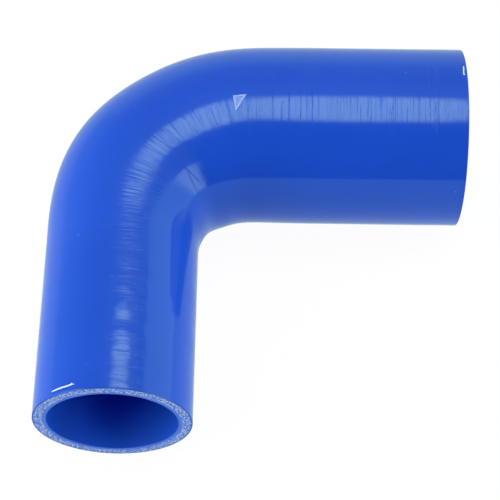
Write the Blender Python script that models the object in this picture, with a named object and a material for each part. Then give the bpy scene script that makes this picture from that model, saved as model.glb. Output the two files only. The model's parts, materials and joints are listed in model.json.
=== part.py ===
"""A silicone elbow hose: a bend of a quarter turn that steps down from a large bore to a small one.

The hose is one moulded piece, a wall of even thickness that is swept round the bend while its bore
narrows. It lies on its side as it comes to rest, on its large leg and on the rim of its small end.

Metres, with +Z up and the floor at Z = 0. The large leg runs along +X and the small leg along -Y.
The origin is on the floor, below the middle of the hose's outline seen from above.
"""

import math

import bmesh
import bpy
import numpy as np
from mathutils import Matrix, Vector
from mathutils.geometry import interpolate_bezier

# Bores and wall
BORE_LARGE = 0.0476
BORE_SMALL = 0.0381
WALL = 0.0041

# Legs, from the point where the two axes meet to the cut ends
LEG_LARGE = 0.1044
LEG_SMALL = 0.1002

# Bend of the axis, and the stretch at each end over which a straight leg eases into it
BEND_ANGLE = math.radians(90)
BEND_RADIUS = 0.0392
BEND_EASE = 0.014

# Reduction, along the axis, counted from the start of the bend at the small leg
REDUCTION_START = -0.0037
REDUCTION_LENGTH = 0.0868
REDUCTION_EASE_SMALL = 0.0121
REDUCTION_EASE_LARGE = 0.0654

# Tuck, where the wall is drawn tight over the inner side of the bend
TUCK_DEPTH = 0.0009
TUCK_PLACE = 0.022
TUCK_LENGTH = 0.0108

# Fineness of the skin
SIDES = 48
BEND_STEP = 0.003
LEG_STEP = 0.02
AXIS_POINTS = 4001
SHARP_ANGLE = math.radians(35)

# Finish
SILICONE_BLUE = (0.018, 0.088, 0.638, 1.0)
SILICONE_ROUGHNESS = 0.33


def clear_scene():
    """Removes every object that the file opens with."""
    for thing in list(bpy.data.objects):
        bpy.data.objects.remove(thing, do_unlink=True)


def bend_heading(along):
    """The turn made by the axis at each distance from where the small leg starts to bend."""
    full = BEND_RADIUS * BEND_ANGLE + BEND_EASE
    marks = [0.0, BEND_EASE, full - BEND_EASE, full]
    curvature = np.interp(along, marks, [0.0, 1 / BEND_RADIUS, 1 / BEND_RADIUS, 0.0])
    steps = np.diff(along) * (curvature[1:] + curvature[:-1]) / 2
    return np.concatenate([[0.0], np.cumsum(steps)])


def walk(along, heading):
    """The path of the axis for those headings, set off along +Y and turning towards +X."""
    direction = np.column_stack([np.sin(heading), np.cos(heading)])
    steps = np.diff(along)[:, None] * (direction[1:] + direction[:-1]) / 2
    return np.concatenate([[[0.0, 0.0]], np.cumsum(steps, axis=0)])


def tangent_length():
    """How far the start of the bend lies from the point where the two axes meet."""
    along = np.linspace(0.0, BEND_RADIUS * BEND_ANGLE + BEND_EASE, AXIS_POINTS)
    sideways = walk(along, bend_heading(along))[-1, 0]
    return sideways / math.sin(BEND_ANGLE)


def reduction_share(place):
    """How much of the step from the small bore to the large one is done at a place on the axis."""
    end = REDUCTION_START + REDUCTION_LENGTH
    curve = interpolate_bezier(
        Vector((REDUCTION_START, 0.0)),
        Vector((REDUCTION_START + REDUCTION_EASE_SMALL, 0.0)),
        Vector((end - REDUCTION_EASE_LARGE, 1.0)),
        Vector((end, 1.0)),
        200,
    )
    return float(np.interp(place, [point.x for point in curve], [point.y for point in curve]))


def tuck(place):
    """How far the section is drawn out of the bend's inner side at a place on the axis."""
    return TUCK_DEPTH * math.exp(-(((place - TUCK_PLACE) / TUCK_LENGTH) ** 2))


def stretch(start, end, step):
    """Evenly spaced places from start up to, but not at, end."""
    count = max(1, math.ceil((end - start) / step))
    return list(np.linspace(start, end, count, endpoint=False))


def sections():
    """The frame and the bore radius of each cross-section, from the small end to the large one.

    The two axes meet at the origin. In a frame, X points to the outer side of the bend,
    Y points up and Z points along the hose.
    """
    tangent = tangent_length()
    small_straight = LEG_SMALL - tangent
    bend_end = small_straight + BEND_RADIUS * BEND_ANGLE + BEND_EASE
    total = bend_end + LEG_LARGE - tangent
    bend_start = small_straight + BEND_EASE / 2

    fine = np.linspace(0.0, total, AXIS_POINTS)
    heading = bend_heading(fine - small_straight)
    path = walk(fine, heading)

    shaped_from = min(small_straight, bend_start + REDUCTION_START)
    shaped_to = max(bend_end, bend_start + REDUCTION_START + REDUCTION_LENGTH)
    places = stretch(0.0, shaped_from, LEG_STEP)
    places += stretch(shaped_from, shaped_to, BEND_STEP)
    places += stretch(shaped_to, total, LEG_STEP) + [total]

    # The path sets off along +Y, and the large leg has to leave along +X
    turn = Matrix.Rotation(BEND_ANGLE - math.pi / 2, 4, "Z")
    start = Matrix.Translation((0.0, -LEG_SMALL, 0.0))
    found = []
    for place in places:
        angle = float(np.interp(place, fine, heading))
        centre = Vector((np.interp(place, fine, path[:, 0]), np.interp(place, fine, path[:, 1]), 0.0))
        along = Vector((math.sin(angle), math.cos(angle), 0.0))
        up = Vector((0.0, 0.0, 1.0))
        outer = up.cross(along)
        from_bend = place - bend_start
        centre += outer * tuck(from_bend)
        frame = Matrix((outer, up, along)).transposed().to_4x4()
        frame.translation = centre
        step = (BORE_LARGE - BORE_SMALL) / 2 * reduction_share(from_bend)
        found.append((turn @ start @ frame, BORE_SMALL / 2 + step))
    return found


def add_ring(shape, frame, radius):
    """Adds the corners of one round cross-section, in order round the hose."""
    return bmesh.ops.create_circle(shape, segments=SIDES, radius=radius, matrix=frame)["verts"]


def add_band(shape, first, second):
    """Joins two rings by a band of faces."""
    for side in range(SIDES):
        after = (side + 1) % SIDES
        shape.faces.new((first[side], first[after], second[after], second[side]))


def lay_down():
    """The turn about the large leg that brings the rim of the small end down to the floor."""
    large = BORE_LARGE / 2 + WALL
    small = BORE_SMALL / 2 + WALL
    reach = LEG_SMALL * math.sin(BEND_ANGLE)
    tilt = math.asin(large / math.hypot(reach, small)) - math.atan2(small, reach)
    return Matrix.Rotation(tilt, 4, "X")


def stand_on_floor(shape):
    """Moves the hose so that the origin is on the floor, below the middle of its outline."""
    corners = np.array([corner.co for corner in shape.verts])
    low = corners.min(axis=0)
    high = corners.max(axis=0)
    middle = (low + high) / 2
    bmesh.ops.translate(shape, verts=shape.verts, vec=(-middle[0], -middle[1], -low[2]))


def silicone():
    """Blue silicone with a soft shine."""
    material = bpy.data.materials.new("blue_silicone")
    material.use_nodes = True
    shader = material.node_tree.nodes["Principled BSDF"]
    shader.inputs["Base Color"].default_value = SILICONE_BLUE
    shader.inputs["Roughness"].default_value = SILICONE_ROUGHNESS
    shader.inputs["Metallic"].default_value = 0.0
    return material


def elbow_hose():
    """Sweeps the wall round the bend: out along the skin, over the large end and back along the bore."""
    shape = bmesh.new()
    course = sections()
    skin = [add_ring(shape, frame, bore_radius + WALL) for frame, bore_radius in course]
    bore = [add_ring(shape, frame, bore_radius) for frame, bore_radius in course]
    outline = skin + bore[::-1]
    for first, second in zip(outline, outline[1:] + outline[:1]):
        add_band(shape, first, second)
    bmesh.ops.transform(shape, matrix=lay_down(), verts=shape.verts)
    stand_on_floor(shape)

    mesh = bpy.data.meshes.new("elbow_hose")
    shape.to_mesh(mesh)
    shape.free()
    mesh.shade_smooth()
    mesh.set_sharp_from_angle(angle=SHARP_ANGLE)
    mesh.materials.append(silicone())
    hose = bpy.data.objects.new("elbow_hose", mesh)
    bpy.context.scene.collection.objects.link(hose)
    return hose


clear_scene()
elbow_hose()
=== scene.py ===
"""The looks of a silicone elbow hose: its blue skin, its cut ends, the marks on it and the studio.

The hose is shaped straight, as it is wrapped on a straight former, then bent and laid down. While
it is straight its corners are noted in the attribute "straight": X along the hose from the small
end, Y to the outer side of the bend, Z up. The wrap lines, creases and fabric follow those notes.

Metres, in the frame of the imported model: +Z up, the floor at Z = 0.
"""

import json
import math
from typing import NamedTuple

import bmesh
import bpy
import numpy as np
from mathutils import Matrix, Vector


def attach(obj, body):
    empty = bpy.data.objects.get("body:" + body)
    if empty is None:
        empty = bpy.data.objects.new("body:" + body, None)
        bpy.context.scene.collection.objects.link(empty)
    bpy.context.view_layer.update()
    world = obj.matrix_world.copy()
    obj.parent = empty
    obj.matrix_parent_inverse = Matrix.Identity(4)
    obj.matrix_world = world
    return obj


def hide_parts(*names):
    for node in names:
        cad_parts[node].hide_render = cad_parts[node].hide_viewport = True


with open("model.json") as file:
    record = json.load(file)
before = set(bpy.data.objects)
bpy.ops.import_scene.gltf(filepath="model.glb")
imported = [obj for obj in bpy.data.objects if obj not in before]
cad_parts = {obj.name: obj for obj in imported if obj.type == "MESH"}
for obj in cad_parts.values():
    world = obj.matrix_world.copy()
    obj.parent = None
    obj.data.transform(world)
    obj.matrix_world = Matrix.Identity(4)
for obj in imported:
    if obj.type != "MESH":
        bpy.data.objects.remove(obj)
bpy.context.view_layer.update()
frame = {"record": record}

bl_info = {
    "name": "Silicone elbow hose",
    "version": (1, 0, 0),
    "blender": (4, 5, 0),
    "location": "3D View > Sidebar > Hose",
    "description": "Shapes and finishes a reducing silicone elbow hose and its studio",
    "category": "Add Mesh",
}

NODE = "elbow_hose"
BODY = "root"
MOUNTS = {mount["name"]: mount for mount in frame["record"]["mounts"]}

# Distance below which two corners count as one place
TOUCH = 0.00001

# Places in a piece's list of finishes, after the skin in the wall's and the film in the mark's
BORE_FINISH = 1
CUT_FINISH = 2
RIM_FINISH = 1

# Fineness of the axis and of the curve that bends the hose
AXIS_POINTS = 4001
GUIDE_POINTS = 120
GUIDE_FINENESS = 8

# Angle between two faces up to which the wall is shaded smooth
SMOOTH_ANGLE = math.radians(15)

WHITE = (1.0, 1.0, 1.0)


# Properties


def metres(name, description, default):
    """A length in metres."""
    return bpy.props.FloatProperty(name=name, description=description, default=default, unit="LENGTH")


def degrees(name, description, default):
    """An angle, given in degrees and kept in radians."""
    default = math.radians(default)
    return bpy.props.FloatProperty(name=name, description=description, default=default, subtype="ANGLE")


def number(name, description, default):
    """A number without a unit, such as the level of a light."""
    return bpy.props.FloatProperty(name=name, description=description, default=default)


def paint(name, description, default):
    """A colour of three parts."""
    return bpy.props.FloatVectorProperty(
        name=name, description=description, default=default, subtype="COLOR", size=3
    )


class HoseSizes(bpy.types.PropertyGroup):
    """Sizes of the hose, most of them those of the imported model."""

    bore_large: metres("Large bore", "Bore of the large leg", 0.0476)
    bore_small: metres("Small bore", "Bore of the small leg", 0.0381)
    wall: metres("Wall", "Thickness of the wall", 0.0041)
    leg_large: metres("Large leg", "From the crossing of the axes to the cut", 0.1044)
    leg_small: metres("Small leg", "From the crossing of the axes to the cut", 0.1002)
    bend_angle: degrees("Bend angle", "Between the two legs", 90.35)
    bend_radius: metres("Bend radius", "Radius of the axis in the bend", 0.0392)
    bend_ease: metres("Bend ease", "Stretch over which a leg eases into the bend", 0.014)
    reduction_start: metres("Reduction start", "From the start of the bend", -0.0037)
    reduction_length: metres("Reduction length", "Stretch in which the bore widens", 0.0868)
    reduction_ease_small: metres("Small ease", "Soft start of the widening", 0.0121)
    reduction_ease_large: metres("Large ease", "Long run-out of the widening", 0.0654)
    tuck_depth: metres("Tuck", "How far the inner side of the bend is drawn in", 0.0009)
    tuck_place: metres("Tuck place", "From the start of the bend", 0.022)
    tuck_reach: metres("Tuck reach", "Stretch on each side that is drawn in too", 0.0185)
    cut_lean: degrees("Cut lean", "How far the large cut leans back", 1.03)
    lean_reach: metres("Lean reach", "Stretch of the wall that follows the lean", 0.012)
    cut_edge: metres("Cut edge", "Rounding along the cut edges", 0.00018)
    sides: bpy.props.IntProperty(name="Sides", description="Faces round the hose", default=144)
    skin_step: metres("Skin step", "Spacing of the rings of the skin", 0.0008)
    bore_step: metres("Bore step", "Spacing of the rings of the bore", 0.0025)


class HoseColours(bpy.types.PropertyGroup):
    """Colours and gloss of the hose."""

    silicone: paint("Silicone", "Blue of the skin", (0.012, 0.077, 0.6))
    sheen: paint("Sheen", "Tint of the skin's gloss", (0.65, 1.0, 0.72))
    roughness: number("Roughness", "Roughness of the skin where it is smoothest", 0.07)
    stretched: number("Stretched", "Roughness added where the bend stretched the skin", 0.13)
    uneven: number("Uneven", "Roughness added here and there", 0.03)
    liner: paint("Liner", "Blue of the bore", (0.012, 0.12, 0.78))
    fabric: paint("Fabric", "Pale yarn ends in the cuts", (0.85, 0.97, 1.0))
    soaked_yarn: paint("Soaked yarn", "Blue among the yarns", (0.055, 0.2, 0.75))
    cut_silicone: paint("Cut silicone", "Liner where it is cut", (0.03, 0.17, 0.8))
    dust: paint("Dust", "Dust specks on the skin", (0.25, 0.42, 0.8))
    film: paint("Film", "Face of the three-cornered mark", (0.16, 0.33, 0.85))
    # The rim's paler blue is painted highlight on a rim whose height is real
    film_rim_highlight: paint("Film edge", "Raised rim of the mark", (0.32, 0.5, 1.0))
    # Near-white colour of the two slivers by the cuts
    pale_sliver: paint("Frayed", "Bared fabric of the nicks", (0.8, 0.93, 1.0))


class ReliefDepths(bpy.types.PropertyGroup):
    """Depths of the fine relief on the hose and its marks."""

    ripples: metres("Ripples", "Shallow ripples of the small leg", 0.00028)
    streaks: metres("Streaks", "Streaks across the bend", 0.0002)
    tape: metres("Tape lines", "Grooves left by the edges of the wrapping tape", 0.000024)
    tape_aslant: metres("Aslant", "Shift of an aslant groove over a radian round the hose", 0.0035)
    tape_wander: metres("Wander", "How far a groove wanders from its place", 0.0001)
    creases: metres("Creases", "Creases at the tuck", 0.00012)
    rings: metres("Rings", "Rings of the former in the bore", 0.00003)
    yarns: metres("Yarns", "Yarn ends in the cuts", 0.00008)
    fibres: metres("Fibres", "Fibres of the film and the bared fabric", 0.00004)


class MarkSettings(bpy.types.PropertyGroup):
    """The small marks on the skin, each placed along the hose from its small end and round it."""

    mark_along: metres("Mark along", "Place of the three-cornered mark", 0.1178)
    mark_around: degrees("Mark around", "From the outer side of the bend", 102.5)
    mark_length: metres("Mark length", "Its edge along the hose", 0.0041)
    mark_depth: metres("Mark depth", "Its reach round the hose", 0.0051)
    mark_point: number("Mark point", "Shift of its point, as a share of its edge", -0.42)
    mark_rim: metres("Mark rim", "Width of its rim", 0.0005)
    rim_height: number("Rim height", "How many thicknesses of the film the rim stands up", 1.6)
    film: metres("Film", "Thickness of the film and the frayed edges", 0.00006)
    # The two near-white slivers by the cuts: their places, turns, sizes and spurs
    small_nick_along: metres("Small nick along", "Frayed sliver by the small cut", 0.0017)
    small_nick_around: degrees("Small nick around", "Place of its middle", 57.2)
    small_nick_turn: degrees("Small nick turn", "From straight round the hose", 2.6)
    small_nick_length: metres("Small nick length", "From tip to tip", 0.0084)
    small_nick_width: metres("Small nick width", "In its middle", 0.00042)
    small_nick_spur: number("Small nick spur", "Place of its spur, as a share of its length", -0.36)
    large_nick_inset: metres("Large nick inset", "Frayed sliver, from the large cut", 0.0006)
    large_nick_around: degrees("Large nick around", "Place of its middle", 76.5)
    large_nick_turn: degrees("Large nick turn", "From straight round the hose", -4.0)
    large_nick_length: metres("Large nick length", "From tip to tip", 0.0044)
    large_nick_width: metres("Large nick width", "In its middle", 0.0004)
    large_nick_spur: number("Large nick spur", "Place of its spur, as a share of its length", -0.42)
    spur_reach: metres("Spur reach", "How far a spur stands out from its nick", 0.0005)


class StudioSettings(bpy.types.PropertyGroup):
    """The floor, the lights and the camera."""

    floor: paint("Floor", "Colour of the floor", (0.8, 0.8, 0.8))
    mirrored: paint("Mirrored floor", "Colour of the floor in the hose's gloss", (0.58, 0.74, 0.8))
    bounce: number("Bounce", "Extra light from the floor", 0.4)
    surroundings: number("Surroundings", "Level of the light from all round", 0.34)
    level_above: number("Light above", "Level of the light above", 4.7)
    level_halo: number("Halo", "Level of the glow round the light above", 0.65)
    level_left: number("Light left", "Level of the light on the left", 0.57)
    level_right: number("Light right", "Level of the light on the right", 1.35)
    level_front: number("Light front", "Level of the light at the front right", 2.8)
    level_fill: number("Fill", "Level of the light at the front left", 4.7)
    level_back: number("Light behind", "Level of the light behind", 0.8)
    tint: paint("Tint", "Cool tint of the lights at the sides and behind", (0.7, 1.0, 0.96))
    aim: bpy.props.FloatVectorProperty(
        name="Aim",
        description="Where the camera looks",
        subtype="XYZ",
        size=3,
        default=(-0.001342, -0.006849, 0.0279),
    )
    distance: metres("Distance", "From the camera to its aim", 0.48958)
    azimuth: degrees("Azimuth", "Turn of the camera round the hose", 1.107)
    elevation: degrees("Elevation", "Height of the camera above the floor", 57.167)
    roll: degrees("Roll", "Tip of the camera to one side", 0.126)
    lens: number("Lens", "Focal length in millimetres, for a sensor of 36", 115.885)


# Nodes of the materials


class Shade:
    """A value on a surface, whose arithmetic in Python turns into Math nodes."""

    def __init__(self, finish, socket):
        self.finish = finish
        self.socket = socket

    def __add__(self, other):
        return self.finish.work("ADD", self, other)

    def __sub__(self, other):
        return self.finish.work("SUBTRACT", self, other)

    def __mul__(self, other):
        return self.finish.work("MULTIPLY", self, other)

    def __truediv__(self, other):
        return self.finish.work("DIVIDE", self, other)

    def __abs__(self):
        return self.finish.work("ABSOLUTE", self)


class Finish:
    """One material, or the world, with the nodes that make its colour, gloss and relief."""

    def __init__(self, name, world=None):
        self.material = world or bpy.data.materials.new(name)
        self.material.use_nodes = True
        self.tree = self.material.node_tree
        self.tree.nodes.clear()

    def node(self, kind, settings=None, inputs=None, output=0):
        """A shader node of that kind, with its settings made first and its sockets set or linked after."""
        made = self.tree.nodes.new(f"ShaderNode{kind}")
        for name, value in (settings or {}).items():
            setattr(made, name, value)
        for name, value in (inputs or {}).items():
            socket = made.inputs[name]
            if isinstance(value, Shade):
                self.tree.links.new(value.socket, socket)
            else:
                socket.default_value = value
        return Shade(self, made.outputs[output] if made.outputs else None)

    def work(self, operation, *values):
        """A Math node on these values."""
        return self.node("Math", {"operation": operation}, dict(enumerate(values)))

    def note(self, name):
        """A vector attribute, whole and in its three parts."""
        vector = self.node("Attribute", {"attribute_name": name}, output="Vector")
        return vector, self.parts(vector)

    def parts(self, vector):
        """The three parts of a vector."""
        return [self.node("SeparateXYZ", inputs={0: vector}, output=part) for part in range(3)]

    def ease(self, value, start, end):
        """0 below start and 1 above end, with a smooth rise. It falls where start is the greater."""
        settings = {"interpolation_type": "SMOOTHSTEP"}
        low, high = min(start, end), max(start, end)
        at_low, at_high = (0.0, 1.0) if start < end else (1.0, 0.0)
        inputs = {"Value": value, "From Min": low, "From Max": high, "To Min": at_low, "To Max": at_high}
        return self.node("MapRange", settings, inputs)

    def within(self, value, rise, fall):
        """1 in a stretch, with a smooth rise at its start and a smooth fall at its end."""
        return self.ease(value, *rise) * self.ease(value, *fall)

    def noise(self, place, scale, detail):
        """A cloudy noise from 0 to 1."""
        return self.node("TexNoise", inputs={"Vector": place, "Scale": scale, "Detail": detail})

    def drawn_noise(self, parts, fineness, detail):
        """A noise over two or three parts, each with its own number of changes to a unit."""
        drawn = {axis: part * fine for axis, (part, fine) in enumerate(zip(parts, fineness))}
        return self.noise(self.node("CombineXYZ", inputs=drawn), 1.0, detail)

    def scatter(self, place, scale):
        """The distance to the nearest of many scattered points, as a share of their spacing."""
        return self.node("TexVoronoi", inputs={"Vector": place, "Scale": scale}, output="Distance")

    def blend(self, share, first, second):
        """A mix of two colours."""
        inputs = {0: share, 6: first, 7: second}
        return self.node("Mix", {"data_type": "RGBA"}, inputs, output=2)

    def relief(self, height, depth, normal=None):
        """A bump of that depth, in metres, laid over an earlier one."""
        inputs = {"Height": height, "Strength": 1.0, "Distance": depth}
        if normal:
            inputs["Normal"] = normal
        return self.node("Bump", inputs=inputs)

    def end(self, shader, output="OutputMaterial"):
        """Ends the material, or the world, in this shader."""
        self.node(output, inputs={"Surface": shader})
        return self.material

    def surface(self, colour, roughness, ior, normal, sheen=WHITE):
        """Ends the material in a Principled shader."""
        inputs = {
            "Base Color": colour,
            "Roughness": roughness,
            "IOR": ior,
            "Specular Tint": opaque(sheen),
            "Normal": normal,
        }
        return self.end(self.node("BsdfPrincipled", inputs=inputs))


def opaque(colour):
    """A colour with full alpha."""
    return (*colour, 1.0)


def shaded(colour, share):
    """A darker shade of a colour."""
    return opaque(share * part for part in colour)


def rough(pattern, levels):
    """A roughness to which a pattern adds."""
    least, added = levels
    return pattern * added + least


# Finishes

# Fineness of the patterns: changes to a metre, or to a metre along the hose and a radian round it
FINENESS = {
    "ripples": (130.0, 0.8),
    "streaks": (1150.0, 2.2),
    "tape patches": (420.0, 1.6),
    "aslant": 120.0,
    "wander": 45.0,
    "specks": 230.0,
    "dusty places": 75.0,
    "cover's pigment": 30.0,
    "liner's pigment": 60.0,
    "former's rings": (700.0, 20.0, 20.0),
    "fabric's border": 900.0,
    "yarn ends": 2100.0,
    "tufts": 2600.0,
    "fibres": 2200.0,
}

# Values of a noise or of a distance between which a pattern goes from nothing to its full strength
CLOUDED = (0.3, 0.7)
ASLANT_CHOSEN = (0.58, 0.7)
TAPE_CHOSEN = (0.3, 0.6)
SPECK_EDGE = (0.075, 0.03)
DUST_CHOSEN = (0.55, 0.62)
YARN_EDGE = (0.6, 0.35)
TUFT_CHOSEN = (0.42, 0.54)
FIBRE_CHOSEN = (0.35, 0.6)

# Strength of a pattern, as a share, and what is left of it where it is faint
DUST_STRENGTH = 0.35
# Share of the painted shade that darkens the creases
CREASE_PAINTED_SHADE = 0.35
STREAKS_STRENGTH = 0.8
STREAKS_AWAY = 0.1
STREAKS_FAINT = 0.04
TAPE_FAINT = 0.1

# Darker shades, as shares of the full colour
COVER_DEEP = 0.93
# Blue of the painted shade in the creases, as a share of the full blue
COVER_PAINTED_SHADE_IN_CREASE = 0.3
COVER_IN_CUT = 0.55
LINER_DEEP = 0.8
FILM_DULL = 0.7

# Roughness of the duller finishes, and what a pattern adds to it
LINER_ROUGHNESS = (0.35, 0.1)
CUT_ROUGHNESS = (0.45, 0.35)
FILM_ROUGHNESS = (0.35, 0.2)

# Sets of grooves left by the tape: grooves to a metre, shift in metres, half width as a share of the
# spacing, and weight
TAPE_SETS = ((290.0, 0.0, 0.03, 1.0), (610.0, 0.37, 0.05, 0.7), (1300.0, 0.71, 0.1, 0.35))

# Creases at the tuck: two ends, each a distance along and an angle round the hose, half width and weight
CREASES = (
    ((0.0838, 2.2), (0.0854, 2.52), 0.00022, 1.0),
    ((0.0833, 2.3), (0.0802, 2.56), 0.0002, 1.0),
    ((0.0895, 2.21), (0.0894, 2.5), 0.00014, 0.5),
    ((0.0875, 2.2), (0.0879, 2.5), 0.00012, 0.4),
)
CREASE_FADE = 0.06

# Where the skin's features rise and fall: along the hose from its small end, in metres, or round it
# from the outer side of the bend, in radians
RIPPLES_FALL_ALONG = (0.06, 0.03)
TAPE_AROUND = ((1.15, 1.4), (2.3, 1.9))
ASLANT_PIVOT = 1.6
STREAKS_ALONG = ((0.04, 0.062), (0.12, 0.085))
STREAKS_AROUND = ((1.35, 1.75), (2.2, 1.95))
STRETCHED_ALONG = ((0.035, 0.055), (0.088, 0.074))
STRETCHED_FALL_AROUND = (2.1, 1.95)

# Where the layers show in a cut, as shares of the wall's thickness from the bore
FABRIC_IN_WALL = ((0.24, 0.3), (0.9, 0.85))
FABRIC_WAVER = 0.12
COVER_IN_WALL = (0.9, 0.94)

# Indexes of refraction
IOR_COVER = 1.5
IOR_SILICONE = 1.41
IOR_FILM = 1.45


def crease(finish, along, around, start, end, half_width):
    """A line across the skin between two places, each a distance along and an angle round the hose."""
    slope = (end[0] - start[0]) / (end[1] - start[1])
    aside = abs(along - (around - start[1]) * slope - start[0])
    rise = (start[1] - CREASE_FADE, start[1] + CREASE_FADE)
    fall = (end[1] + CREASE_FADE, end[1] - CREASE_FADE)
    return finish.ease(aside, half_width, 0.0) * finish.within(around, rise, fall)


def tuck_creases(finish, along, around):
    """The creases where the tuck pressed the cover together."""
    creases = 0.0
    for start, end, half_width, weight in CREASES:
        creases = crease(finish, along, around, start, end, half_width) * weight + creases
    return creases


def tape_grooves(finish, depths, place, along, around):
    """The grooves left by the edges of the wrapping tape, hair-fine, a few of which run aslant."""
    turns = {"W": along * FINENESS["aslant"], "Detail": 0.0}
    chosen = finish.node("TexNoise", {"noise_dimensions": "1D"}, turns)
    aslant = (around - ASLANT_PIVOT) * finish.ease(chosen, *ASLANT_CHOSEN) * depths.tape_aslant
    winding = along + aslant + finish.noise(place, FINENESS["wander"], 1.0) * depths.tape_wander
    grooves = 0.0
    for fineness, shift, half_width, weight in TAPE_SETS:
        edges = finish.node(
            "TexVoronoi",
            {"voronoi_dimensions": "1D", "feature": "DISTANCE_TO_EDGE"},
            {"W": winding + shift, "Scale": fineness, "Randomness": 1.0},
            output="Distance",
        )
        grooves = finish.ease(edges, half_width, 0.0) * weight + grooves
    patches = finish.drawn_noise((along, around), FINENESS["tape patches"], 1.0)
    rise, fall = TAPE_AROUND
    on_top = finish.ease(around, *rise) * (finish.ease(around, *fall) + TAPE_FAINT)
    return grooves * finish.ease(patches, *TAPE_CHOSEN) * on_top


def bend_streaks(finish, along, around):
    """Streaks across the hose, strongest where the bend stretched and pressed the cover."""
    streaks = finish.drawn_noise((along, around), FINENESS["streaks"], 2.0)
    on_inner_side = finish.within(around, *STREAKS_AROUND) * STREAKS_STRENGTH + STREAKS_AWAY
    return streaks * (finish.within(along, *STREAKS_ALONG) * on_inner_side + STREAKS_FAINT)


def dust_specks(finish, place):
    """Specks of dust, which lie on the skin in groups."""
    specks = finish.ease(finish.scatter(place, FINENESS["specks"]), *SPECK_EDGE)
    dusty = finish.ease(finish.noise(place, FINENESS["dusty places"], 0.0), *DUST_CHOSEN)
    return specks * dusty * DUST_STRENGTH


def skin_finish(colours, depths):
    """The glossy blue cover, with the fine lines and creases that wrapping and bending left on it."""
    finish = Finish("silicone_skin")
    place, (along, outward, upward) = finish.note("straight")
    around = finish.work("ARCTAN2", upward, outward)

    ripples = finish.drawn_noise((along, around), FINENESS["ripples"], 1.0)
    creases = tuck_creases(finish, along, around)
    normal = finish.relief(ripples * finish.ease(along, *RIPPLES_FALL_ALONG), depths.ripples)
    normal = finish.relief(bend_streaks(finish, along, around), depths.streaks, normal)
    normal = finish.relief(tape_grooves(finish, depths, place, along, around), -depths.tape, normal)
    normal = finish.relief(creases, -depths.creases, normal)

    # The pigment is slightly uneven; the creases get painted shade, a darker blue
    cloud = finish.noise(place, FINENESS["cover's pigment"], 3.0)
    deep = shaded(colours.silicone, COVER_DEEP)
    colour = finish.blend(finish.ease(cloud, *CLOUDED), deep, opaque(colours.silicone))
    # Painted shade: the creases are coloured darker where shade falls in them
    crease_shade = shaded(colours.silicone, COVER_PAINTED_SHADE_IN_CREASE)
    colour = finish.blend(creases * CREASE_PAINTED_SHADE, colour, crease_shade)
    colour = finish.blend(dust_specks(finish, place), colour, opaque(colours.dust))

    stretched = finish.within(along, *STRETCHED_ALONG) * finish.ease(around, *STRETCHED_FALL_AROUND)
    roughness = stretched * colours.stretched + cloud * colours.uneven + colours.roughness
    return finish.surface(colour, roughness, IOR_COVER, normal, colours.sheen)


def bore_finish(colours, depths):
    """The smooth liner inside the hose, with the faint rings of its former."""
    finish = Finish("silicone_liner")
    place, parts = finish.note("straight")
    rings = finish.drawn_noise(parts, FINENESS["former's rings"], 2.0)
    cloud = finish.noise(place, FINENESS["liner's pigment"], 2.0)
    deep = shaded(colours.liner, LINER_DEEP)
    colour = finish.blend(finish.ease(cloud, *CLOUDED), deep, opaque(colours.liner))
    normal = finish.relief(rings, depths.rings)
    return finish.surface(colour, rough(cloud, LINER_ROUGHNESS), IOR_SILICONE, normal)


def cut_finish(colours, depths, sizes):
    """The cut face: the pale yarn ends of the fabric between a blue liner and a thin blue cover."""
    finish = Finish("cut_face")
    place, (along, outward, upward) = finish.note("straight")
    radius = finish.work("SQRT", outward * outward + upward * upward)
    wider = (sizes.bore_large - sizes.bore_small) / 2
    at_large_end = finish.work("GREATER_THAN", along, sizes.leg_small)
    depth = (radius - at_large_end * wider - sizes.bore_small / 2) / sizes.wall

    # The fabric's two borders waver with the loops of its knit
    unsteady = depth + (finish.noise(place, FINENESS["fabric's border"], 2.0) - 0.5) * FABRIC_WAVER
    band = finish.within(unsteady, *FABRIC_IN_WALL)

    yarn_ends = finish.ease(finish.scatter(place, FINENESS["yarn ends"]), *YARN_EDGE)
    tufts = finish.ease(finish.noise(place, FINENESS["tufts"], 3.0), *TUFT_CHOSEN)
    pale = band * (yarn_ends * tufts)
    colour = finish.blend(band, opaque(colours.cut_silicone), opaque(colours.soaked_yarn))
    colour = finish.blend(pale, colour, opaque(colours.fabric))
    cover = shaded(colours.silicone, COVER_IN_CUT)
    colour = finish.blend(finish.ease(depth, *COVER_IN_WALL), colour, cover)
    normal = finish.relief(pale, depths.yarns)
    return finish.surface(colour, rough(band, CUT_ROUGHNESS), IOR_SILICONE, normal)


def film_finish(name, colour, depths):
    """The dull face of a scrap of film, of its rim, whose paler blue is painted highlight, and of a pale
    sliver.
    """
    finish = Finish(name)
    place = finish.node("TexCoord", output="Object")
    fibres = finish.noise(place, FINENESS["fibres"], 3.0)
    colour = finish.blend(finish.ease(fibres, *FIBRE_CHOSEN), shaded(colour, FILM_DULL), opaque(colour))
    normal = finish.relief(fibres, depths.fibres)
    return finish.surface(colour, rough(fibres, FILM_ROUGHNESS), IOR_FILM, normal)


# Shape


def bend_length(sizes):
    """Length of the axis from the start of the bend to its end, with the eased stretches."""
    return sizes.bend_radius * sizes.bend_angle + sizes.bend_ease


def heading(sizes, along):
    """The turn made by the axis at each distance from where the small leg starts to bend."""
    full = bend_length(sizes)
    marks = [0.0, sizes.bend_ease, full - sizes.bend_ease, full]
    curvature = np.interp(along, marks, [0.0, 1 / sizes.bend_radius, 1 / sizes.bend_radius, 0.0])
    steps = np.diff(along) * (curvature[1:] + curvature[:-1]) / 2
    return np.concatenate([[0.0], np.cumsum(steps)])


def walk(along, turned):
    """The path of the axis, which sets off along +Y and turns towards +X."""
    direction = np.column_stack([np.sin(turned), np.cos(turned)])
    steps = np.diff(along)[:, None] * (direction[1:] + direction[:-1]) / 2
    return np.concatenate([[[0.0, 0.0]], np.cumsum(steps, axis=0)])


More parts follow.
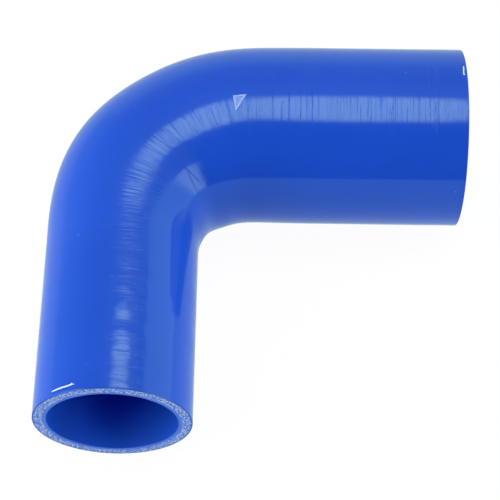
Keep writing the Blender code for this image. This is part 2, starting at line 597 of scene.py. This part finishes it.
class Course:
    """The axis of the hose, from the small end at 0 to the large end."""

    def __init__(self, sizes):
        bend = np.linspace(0.0, bend_length(sizes), AXIS_POINTS)
        tangent = walk(bend, heading(sizes, bend))[-1, 0] / math.sin(sizes.bend_angle)
        self.small_straight = sizes.leg_small - tangent
        self.bend_start = self.small_straight + sizes.bend_ease / 2
        self.length = self.small_straight + bend_length(sizes) + sizes.leg_large - tangent
        self.along = np.linspace(0.0, self.length, AXIS_POINTS)
        set_off = math.pi / 2 - sizes.bend_angle
        self.turned = heading(sizes, self.along - self.small_straight) + set_off
        small_end = np.array([math.sin(set_off), math.cos(set_off)]) * sizes.leg_small
        self.path = walk(self.along, self.turned) - small_end

    def point(self, place):
        """The point of the axis at a place."""
        x = np.interp(place, self.along, self.path[:, 0])
        y = np.interp(place, self.along, self.path[:, 1])
        return Vector((x, y, 0.0))

    def direction(self, place):
        """The direction of the axis at a place."""
        angle = float(np.interp(place, self.along, self.turned))
        return Vector((math.sin(angle), math.cos(angle), 0.0))


def bore_radius(sizes, course, place):
    """Radius of the bore at a place on the axis, which widens along an eased curve."""
    from_bend = place - course.bend_start
    start = sizes.reduction_start
    end = start + sizes.reduction_length
    guides = [start, start + sizes.reduction_ease_small, end - sizes.reduction_ease_large, end]
    share = np.linspace(0.0, 1.0, 201)
    spread = [(1 - share) ** 3, 3 * share * (1 - share) ** 2, 3 * share**2 * (1 - share), share**3]
    distance = sum(weight * guide for weight, guide in zip(spread, guides))
    widened = float(np.interp(from_bend, distance, spread[2] + spread[3]))
    return sizes.bore_small / 2 + (sizes.bore_large - sizes.bore_small) / 2 * widened


def choose(shape, corners):
    """Selects these corners, with the edges and faces between them, and nothing else."""
    for part in (shape.faces, shape.edges, shape.verts):
        for item in part:
            item.select = False
    for corner in corners:
        corner.select = True
    shape.select_flush(True)
    bmesh.update_edit_mesh(bpy.context.edit_object.data)


def deselect_all():
    """Leaves nothing selected in the scene."""
    bpy.ops.object.select_all(action="DESELECT")


def select_only(piece):
    """Selects one object and makes it the active one."""
    deselect_all()
    piece.select_set(True)
    bpy.context.view_layer.objects.active = piece


def plane(name, width, height):
    """A flat rectangle on the floor, round the origin."""
    deselect_all()
    bpy.ops.mesh.primitive_plane_add(size=1.0)
    made = bpy.context.object
    made.name = name
    made.scale = (width, height, 1.0)
    bpy.ops.object.transform_apply()
    return made


def wall_section(sizes, course):
    """Draws the section of the straight wall from end to end, as edges in the plane of the bend."""
    middle = (sizes.bore_small + sizes.wall) / 2
    bpy.ops.mesh.primitive_plane_add(size=1.0, location=(course.length / 2, middle, 0.0))
    bpy.ops.transform.resize(value=(course.length, sizes.wall, 1.0))
    bpy.ops.object.transform_apply()
    bpy.ops.object.mode_set(mode="EDIT")
    bpy.ops.mesh.delete(type="ONLY_FACE")
    hose = bpy.context.edit_object
    for outside, step in ((True, sizes.skin_step), (False, sizes.bore_step)):
        shape = bmesh.from_edit_mesh(hose.data)
        choose(shape, [corner for corner in shape.verts if (corner.co.y > middle) == outside])
        bpy.ops.mesh.subdivide(number_cuts=round(course.length / step))
    for index in range(len(bmesh.from_edit_mesh(hose.data).verts)):
        shape = bmesh.from_edit_mesh(hose.data)
        shape.verts.ensure_lookup_table()
        corner = shape.verts[index]
        wanted = bore_radius(sizes, course, corner.co.x)
        if corner.co.y > middle:
            wanted += sizes.wall
        choose(shape, [corner])
        bpy.ops.transform.translate(value=(0.0, wanted - corner.co.y, 0.0))


class HOSE_OT_wall(bpy.types.Operator):
    """Shapes the wall of the hose from end to end and gives it its finishes"""

    bl_idname = "hose.wall"
    bl_label = "Hose wall"

    def execute(self, context):
        sizes = context.scene.hose_sizes
        colours = context.scene.hose_colours
        depths = context.scene.hose_depths
        course = Course(sizes)
        deselect_all()
        wall_section(sizes, course)
        bpy.ops.mesh.select_all(action="SELECT")
        bpy.ops.mesh.spin(
            steps=sizes.sides, angle=2 * math.pi, use_auto_merge=True, center=(0, 0, 0), axis=(1, 0, 0)
        )
        bpy.ops.mesh.select_all(action="SELECT")
        bpy.ops.mesh.remove_doubles(threshold=TOUCH)
        bpy.ops.mesh.normals_make_consistent(inside=False)
        round_cut_edges(sizes, course)
        bpy.ops.object.mode_set(mode="OBJECT")
        hose = context.object
        hose.name = "hose_wall"
        note_straight_places(hose)
        bpy.ops.object.mode_set(mode="EDIT")
        draw_in_tuck(sizes, course)
        lean_cut(sizes, course)
        bpy.ops.object.mode_set(mode="OBJECT")
        bend(hose, course)
        lay_down(hose, sizes)
        bpy.ops.object.shade_smooth_by_angle(angle=SMOOTH_ANGLE)
        hose.data.materials.append(skin_finish(colours, depths))
        hose.data.materials.append(bore_finish(colours, depths))
        hose.data.materials.append(cut_finish(colours, depths, sizes))
        share_out_finishes(hose, sizes, course)
        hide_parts(NODE)
        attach(hose, BODY)
        return {"FINISHED"}


def round_cut_edges(sizes, course):
    """Takes the sharpness off the outer and inner edges of the two cuts."""
    hose = bpy.context.edit_object
    shape = bmesh.from_edit_mesh(hose.data)
    choose(shape, [])
    for edge in shape.edges:
        ends = [corner.co for corner in edge.verts]
        at_cut = max(min(co.x, course.length - co.x) for co in ends) < TOUCH
        radii = [math.hypot(co.y, co.z) for co in ends]
        edge.select = at_cut and abs(radii[0] - radii[1]) < TOUCH
    bmesh.update_edit_mesh(hose.data)
    bpy.ops.mesh.bevel(offset=sizes.cut_edge, segments=2, affect="EDGES")


def ring_at(shape, place, reach):
    """The corners of the skin and bore rings nearest to a place."""
    found = []
    for low, high in ((0.0, reach), (reach, math.inf)):
        layer = [corner for corner in shape.verts if low <= math.hypot(corner.co.y, corner.co.z) < high]
        nearest = min(abs(corner.co.x - place) for corner in layer)
        found += [corner for corner in layer if abs(corner.co.x - place) < nearest + TOUCH]
    return found


def drawn_along(falloff, reach):
    """Settings that draw the corners within reach along with the chosen ones."""
    return {
        "use_proportional_edit": True,
        "proportional_edit_falloff": falloff,
        "proportional_size": reach,
    }


def draw_in_tuck(sizes, course):
    """Draws the wall tight over the inner side of the bend, which pushes it to the outer side."""
    place = course.bend_start + sizes.tuck_place
    shape = bmesh.from_edit_mesh(bpy.context.edit_object.data)
    choose(shape, ring_at(shape, place, bore_radius(sizes, course, place) + sizes.wall / 2))
    bpy.ops.transform.translate(
        value=(0.0, sizes.tuck_depth, 0.0), **drawn_along("SMOOTH", sizes.tuck_reach)
    )


def lean_cut(sizes, course):
    """Leans the cut of the large leg, so that its upper rim stands further out."""
    shape = bmesh.from_edit_mesh(bpy.context.edit_object.data)
    choose(shape, [corner for corner in shape.verts if corner.co.x > course.length - 2 * sizes.cut_edge])
    bpy.ops.transform.rotate(
        value=-sizes.cut_lean,
        orient_axis="Y",
        center_override=(course.length, 0.0, 0.0),
        **drawn_along("SMOOTH", sizes.lean_reach),
    )


def note_straight_places(hose):
    """Notes each corner's place on the straight hose in an attribute."""
    places = np.empty(len(hose.data.vertices) * 3, dtype=np.float32)
    hose.data.vertices.foreach_get("co", places)
    note = hose.data.attributes.new("straight", "FLOAT_VECTOR", "POINT")
    note.data.foreach_set("vector", places)


def bend(hose, course):
    """Bends the straight hose along a curve through the axis."""
    bpy.ops.curve.primitive_bezier_curve_add()
    guide = bpy.context.object
    guide.data.twist_mode = "Z_UP"
    guide.data.resolution_u = GUIDE_FINENESS
    spline = guide.data.splines[0]
    spline.bezier_points.add(GUIDE_POINTS - len(spline.bezier_points))
    places = np.linspace(0.0, course.length, GUIDE_POINTS)
    reach = (places[1] - places[0]) / 3
    for point, place in zip(spline.bezier_points, places):
        point.handle_left_type = point.handle_right_type = "FREE"
        point.co = course.point(place)
        point.handle_left = point.co - course.direction(place) * reach
        point.handle_right = point.co + course.direction(place) * reach
    select_only(hose)
    curve = hose.modifiers.new("bend", "CURVE")
    curve.object = guide
    curve.deform_axis = "POS_X"
    bpy.ops.object.modifier_apply(modifier="bend")
    bpy.data.objects.remove(guide, do_unlink=True)


def resting_place(sizes):
    """The turn about the large leg that brings the small rim down to the floor, and the move to its place."""
    large = sizes.bore_large / 2 + sizes.wall
    small = sizes.bore_small / 2 + sizes.wall
    reach = sizes.leg_small * math.sin(sizes.bend_angle)
    tilt = math.asin(large / math.hypot(reach, small)) - math.atan2(small, reach)
    end = MOUNTS["large_end_face"]["pos_m"]
    move = Matrix.Translation((end[0] - sizes.leg_large, end[1], large))
    return move @ Matrix.Rotation(tilt, 4, "X")


def lay_down(hose, sizes):
    """Lays the bent hose in its place, with its lowest corner on the floor."""
    hose.matrix_world = resting_place(sizes)
    bpy.ops.object.transform_apply()
    lowest = min(corner.co.z for corner in hose.data.vertices)
    hose.location = (0.0, 0.0, -lowest)
    bpy.ops.object.transform_apply()


def share_out_finishes(hose, sizes, course):
    """Gives the skin, the bore and the cut faces their own finishes."""
    places = np.empty(len(hose.data.vertices) * 3, dtype=np.float32)
    hose.data.attributes["straight"].data.foreach_get("vector", places)
    places = places.reshape(-1, 3)
    for face in hose.data.polygons:
        corners = places[list(face.vertices)]
        along = corners[:, 0].mean()
        radius = np.hypot(corners[:, 1], corners[:, 2])
        if np.ptp(corners[:, 0]) < TOUCH and np.ptp(radius) > TOUCH:
            face.material_index = CUT_FINISH
        elif radius.mean() < bore_radius(sizes, course, along) + sizes.wall / 2:
            face.material_index = BORE_FINISH


# Marks on the skin

# Shape of a sliver: the cuts across it, how narrow its tips are, and the stretches that are drawn along
# at a tip and beside the spur, as shares of its length
SLIVER_CUTS = 23
TIP_NARROWING = 0.12
TIP_REACH = 0.3
SPUR_ROOT = 0.07

# The mark: the cuts across it, the slack in the breadth of its rim, and how squarely a face of it has to
# face up or outward to count as one of its upper faces, as cosines
MARK_CUTS = 5
RIM_SLACK = 1.05
FACING_UP = 0.3
FACING_OUT = 0.7


def lay_on_skin(piece, sizes, thickness, along, around, turn=0.0):
    """Lays a flat piece on the skin, its X along the hose, and gives it its thickness."""
    course = Course(sizes)
    forward = course.direction(along)
    up = Vector((0.0, 0.0, 1.0))
    outer = up.cross(forward)
    away = outer * math.cos(around) + up * math.sin(around)
    frame_there = Matrix((forward, away.cross(forward), away)).transposed().to_4x4()
    frame_there.translation = course.point(along) + away * (bore_radius(sizes, course, along) + sizes.wall)
    piece.matrix_world = resting_place(sizes) @ frame_there @ Matrix.Rotation(turn, 4, "Z")
    select_only(piece)
    bpy.ops.object.transform_apply()
    wrap = piece.modifiers.new("wrap", "SHRINKWRAP")
    wrap.target = bpy.data.objects["hose_wall"]
    wrap.wrap_mode = "ABOVE_SURFACE"
    wrap.offset = thickness / 4
    bpy.ops.object.modifier_apply(modifier="wrap")
    film = piece.modifiers.new("film", "SOLIDIFY")
    film.thickness = thickness
    film.offset = 1.0
    bpy.ops.object.modifier_apply(modifier="film")
    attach(piece, BODY)


class HOSE_OT_mark(bpy.types.Operator):
    """Lays the three-cornered scrap of film on the large leg, with its raised rim"""

    bl_idname = "hose.mark"
    bl_label = "Three-cornered mark"

    def execute(self, context):
        sizes = context.scene.hose_sizes
        colours = context.scene.hose_colours
        depths = context.scene.hose_depths
        marks = context.scene.hose_marks
        mark = plane("film_mark", marks.mark_length, marks.mark_depth)
        bpy.ops.object.mode_set(mode="EDIT")
        shape = bmesh.from_edit_mesh(mark.data)
        choose(shape, [corner for corner in shape.verts if corner.co.y < 0])
        # The point of the mark lies near one end of its straight edge
        bpy.ops.mesh.merge(type="CENTER")
        bpy.ops.transform.translate(value=(marks.mark_point * marks.mark_length, 0.0, 0.0))
        bpy.ops.mesh.select_all(action="SELECT")
        bpy.ops.mesh.inset(thickness=marks.mark_rim, depth=0.0)
        bpy.ops.mesh.select_all(action="SELECT")
        bpy.ops.mesh.subdivide(number_cuts=MARK_CUTS)
        bpy.ops.object.mode_set(mode="OBJECT")
        mark.data.materials.append(film_finish("film", colours.film, depths))
        # The rim stands up as real relief; its paler blue is painted highlight
        mark.data.materials.append(film_finish("film_rim_highlight", colours.film_rim_highlight, depths))
        share_out_rim(mark, marks.mark_rim * RIM_SLACK)
        lay_on_skin(mark, sizes, marks.film, marks.mark_along, marks.mark_around)
        raise_rim(mark, marks.film * marks.rim_height)
        return {"FINISHED"}


def share_out_rim(mark, width):
    """Gives the faces along the mark's three edges the second finish."""
    corners = [corner.co.copy() for corner in mark.data.vertices]
    border = [edge for edge in mark.data.edge_keys if on_border(mark.data, edge)]
    for face in mark.data.polygons:
        middle = face.center
        nearest = min(
            (middle - closest_on(corners[first], corners[second], middle)).length for first, second in border
        )
        if nearest < width:
            face.material_index = RIM_FINISH


def on_border(mesh, edge):
    """Whether an edge belongs to one face only."""
    return sum(1 for face in mesh.polygons if edge in face.edge_keys) == 1


def closest_on(first, second, point):
    """The point of a straight edge that is nearest to another point."""
    span = second - first
    share = (point - first).dot(span) / span.length_squared
    return first + span * min(1.0, max(0.0, share))


def raise_rim(mark, height):
    """Raises the outward faces of the rim above the film."""
    bpy.ops.object.mode_set(mode="EDIT")
    shape = bmesh.from_edit_mesh(mark.data)
    choose(shape, [])
    upper = [face for face in shape.faces if face.normal.z > FACING_UP]
    outward = sum((face.normal * face.calc_area() for face in upper), Vector()).normalized()
    for face in shape.faces:
        face.select = face.material_index == RIM_FINISH and face.normal.dot(outward) > FACING_OUT
    bmesh.update_edit_mesh(mark.data)
    bpy.ops.mesh.extrude_region_shrink_fatten(TRANSFORM_OT_shrink_fatten={"value": height})
    bpy.ops.object.mode_set(mode="OBJECT")


def sliver(name, length, width, spur_place):
    """A thin pale sliver along Y, tapered at both ends, with a short spur towards +X."""
    scene = bpy.context.scene
    piece = plane(name, width, length)
    bpy.ops.object.mode_set(mode="EDIT")
    shape = bmesh.from_edit_mesh(piece.data)
    choose(shape, [])
    for edge in shape.edges:
        edge.select = abs(edge.verts[0].co.y - edge.verts[1].co.y) > length / 2
    bmesh.update_edit_mesh(piece.data)
    bpy.ops.mesh.subdivide(number_cuts=SLIVER_CUTS)
    for end in (-0.5, 0.5):
        shape = bmesh.from_edit_mesh(piece.data)
        choose(shape, [corner for corner in shape.verts if abs(corner.co.y - end * length) < TOUCH])
        bpy.ops.transform.resize(
            value=(TIP_NARROWING, 1.0, 1.0),
            center_override=(0.0, end * length, 0.0),
            **drawn_along("SHARP", length * TIP_REACH),
        )
    shape = bmesh.from_edit_mesh(piece.data)
    side = [corner for corner in shape.verts if corner.co.x > 0]
    choose(shape, [min(side, key=lambda corner: abs(corner.co.y - spur_place * length))])
    bpy.ops.transform.translate(
        value=(scene.hose_marks.spur_reach, 0.0, 0.0), **drawn_along("SHARP", length * SPUR_ROOT)
    )
    bpy.ops.object.mode_set(mode="OBJECT")
    piece.data.materials.append(film_finish(name, scene.hose_colours.pale_sliver, scene.hose_depths))
    return piece


class HOSE_OT_nicks(bpy.types.Operator):
    """Lays the two pale slivers beside the cuts"""

    bl_idname = "hose.nicks"
    bl_label = "Frayed nicks"

    def execute(self, context):
        sizes = context.scene.hose_sizes
        marks = context.scene.hose_marks
        small = sliver(
            "pale_nick_small", marks.small_nick_length, marks.small_nick_width, marks.small_nick_spur
        )
        large = sliver(
            "pale_nick_large", marks.large_nick_length, marks.large_nick_width, marks.large_nick_spur
        )
        near_large_cut = Course(sizes).length - marks.large_nick_inset
        for nick, along, around, turn in (
            (small, marks.small_nick_along, marks.small_nick_around, marks.small_nick_turn),
            (large, near_large_cut, marks.large_nick_around, marks.large_nick_turn),
        ):
            lay_on_skin(nick, sizes, marks.film, along, around, turn)
        return {"FINISHED"}


# Studio


class Lamp(NamedTuple):
    """A glowing card: its middle, what it faces, its width and height, and its soft border."""

    place: tuple
    aim: tuple
    size: tuple
    soft: float
    round_shape: bool = False
    tinted: bool = False


# The lights, whose levels are the studio's properties of the same names
LAMPS = {
    "above": Lamp((0.05, 0.022, 0.414), (0.05, 0.022, 0.0), (0.28, 0.28), 0.06, round_shape=True),
    "halo": Lamp((0.085, 0.1, 0.416), (0.085, 0.1, 0.0), (0.6, 0.6), 0.28, round_shape=True),
    "left": Lamp((-0.75, 0.3, 0.02), (0.0, 0.0, 0.02), (1.8, 1.6), 0.75, tinted=True),
    "right": Lamp((0.6, 0.3, 0.27), (0.0, 0.0, 0.1), (1.4, 0.66), 0.04, tinted=True),
    "front": Lamp((0.5, -0.23, 0.22), (0.0, 0.0, 0.03), (0.42, 0.46), 0.05),
    "fill": Lamp((-0.38, -0.1, 0.2), (0.0, 0.0, 0.03), (0.38, 0.38), 0.06),
    "back": Lamp((0.0, 0.8, 0.1), (0.0, 0.0, 0.05), (1.7, 0.9), 0.44, tinted=True),
}

# The dark card: its middle, what it faces, its width and height, and its grey
DARK_PLACE = (0.1, -0.75, 1.2)
DARK_AIM = (0.1, 0.0, 1.2)
DARK_SIZE = (1.5, 2.4)
DARK_GREY = (0.02, 0.02, 0.02)

# The floor: its width, and the level and share of the even glow that the camera and the gloss see
FLOOR_SIZE = 20.0
FLOOR_GLOW = 1.03
FLOOR_WHITENESS = 0.93


def glow_finish(name, level, lamp, tint):
    """A glowing card, which fades over its soft border into what lies behind it."""
    finish = Finish(name)
    place = finish.node("TexCoord", output="Object")
    across, up = finish.parts(place)[:2]
    half_width, half_height = lamp.size[0] / 2, lamp.size[1] / 2
    if lamp.round_shape:
        from_middle = finish.work("SQRT", across * across + up * up)
        share = finish.ease(from_middle, half_width, half_width - lamp.soft)
    else:
        share = finish.ease(abs(across), half_width, half_width - lamp.soft)
        share = share * finish.ease(abs(up), half_height, half_height - lamp.soft)
    clear = finish.node("BsdfTransparent")
    glow = finish.node("Emission", inputs={"Color": opaque(tint), "Strength": level})
    return finish.end(finish.node("MixShader", inputs={0: share, 1: clear, 2: glow}))


def dark_finish():
    """The black side of a card."""
    finish = Finish("dark_card")
    return finish.end(finish.node("BsdfDiffuse", inputs={"Color": opaque(DARK_GREY)}))


def card(name, place, aim, size, material):
    """A flat card that faces its aim and is out of the camera's sight."""
    made = plane(name, *size)
    made.location = place
    made.rotation_euler = (Vector(aim) - Vector(place)).to_track_quat("Z", "Y").to_euler()
    made.data.materials.append(material)
    made.visible_camera = False


def floor_finish(colour, mirrored, bounce):
    """A white floor that keeps the hose's soft shadow and throws light back up on it."""
    finish = Finish("white_floor")
    seen_straight = finish.node("LightPath", output="Is Camera Ray")
    rays = seen_straight
    for kind in ("Is Glossy Ray", "Is Transmission Ray"):
        rays = finish.work("MAXIMUM", rays, finish.node("LightPath", output=kind))
    board = finish.node("BsdfDiffuse", inputs={"Color": opaque(colour)})
    white = finish.blend(seen_straight, opaque(mirrored), opaque(WHITE))
    glow = finish.node("Emission", inputs={"Color": white, "Strength": FLOOR_GLOW})
    seen = finish.node("MixShader", inputs={0: rays * FLOOR_WHITENESS, 1: board, 2: glow})
    spread = finish.node("LightPath", output="Is Diffuse Ray")
    thrown = finish.node("Emission", inputs={"Color": opaque(WHITE), "Strength": spread * bounce})
    return finish.end(finish.node("AddShader", inputs={0: seen, 1: thrown}))


def surroundings_finish(level):
    """An even light from all round, which the camera sees as plain white."""
    finish = Finish("surroundings", bpy.data.worlds.new("surroundings"))
    seen_straight = finish.node("LightPath", output="Is Camera Ray")
    strength = seen_straight * (1.0 - level) + level
    glow = finish.node("Background", inputs={"Color": opaque(WHITE), "Strength": strength})
    return finish.end(glow, "OutputWorld")


class HOSE_OT_studio(bpy.types.Operator):
    """Sets up the floor, the lights and the camera"""

    bl_idname = "hose.studio"
    bl_label = "Studio"

    def execute(self, context):
        studio = context.scene.hose_studio
        floor = plane("floor", FLOOR_SIZE, FLOOR_SIZE)
        floor.data.materials.append(floor_finish(studio.floor, studio.mirrored, studio.bounce))

        context.scene.world = surroundings_finish(studio.surroundings)
        for name, lamp in LAMPS.items():
            tint = studio.tint if lamp.tinted else WHITE
            glow = glow_finish(f"light_{name}", getattr(studio, f"level_{name}"), lamp, tint)
            card(f"light_{name}", lamp.place, lamp.aim, lamp.size, glow)
        card("card_dark", DARK_PLACE, DARK_AIM, DARK_SIZE, dark_finish())

        bpy.ops.object.camera_add()
        camera = context.object
        camera.name = "camera"
        camera.data.lens = studio.lens
        tip = Matrix.Rotation(math.pi / 2 - studio.elevation, 4, "X")
        turn = Matrix.Rotation(studio.azimuth, 4, "Z") @ tip
        place = Vector(studio.aim) + turn @ Vector((0.0, 0.0, studio.distance))
        camera.matrix_world = Matrix.Translation(place) @ turn @ Matrix.Rotation(-studio.roll, 4, "Z")
        context.scene.camera = camera
        context.scene.view_settings.view_transform = "Standard"
        return {"FINISHED"}


class HOSE_PT_panel(bpy.types.Panel):
    """The hose and its studio in the sidebar."""

    bl_label = "Elbow hose"
    bl_idname = "HOSE_PT_panel"
    bl_space_type = "VIEW_3D"
    bl_region_type = "UI"
    bl_category = "Hose"

    def draw(self, context):
        for group_name in GROUPS:
            group = getattr(context.scene, group_name)
            for name in group.__annotations__:
                self.layout.prop(group, name)
        for operator in OPERATORS:
            self.layout.operator(operator.bl_idname)


OPERATORS = (HOSE_OT_wall, HOSE_OT_mark, HOSE_OT_nicks, HOSE_OT_studio)
GROUPS = {
    "hose_sizes": HoseSizes,
    "hose_colours": HoseColours,
    "hose_depths": ReliefDepths,
    "hose_marks": MarkSettings,
    "hose_studio": StudioSettings,
}


def register():
    """Makes the add-on known."""
    for known in (*GROUPS.values(), *OPERATORS, HOSE_PT_panel):
        bpy.utils.register_class(known)
    for name, group in GROUPS.items():
        setattr(bpy.types.Scene, name, bpy.props.PointerProperty(type=group))


def unregister():
    """Takes them away again."""
    for name in GROUPS:
        delattr(bpy.types.Scene, name)
    for known in (HOSE_PT_panel, *reversed(OPERATORS), *reversed(GROUPS.values())):
        bpy.utils.unregister_class(known)


def main():
    """Makes the hose and its studio."""
    register()
    bpy.ops.hose.wall()
    bpy.ops.hose.mark()
    bpy.ops.hose.nicks()
    bpy.ops.hose.studio()


if __name__ == "__main__":
    main()
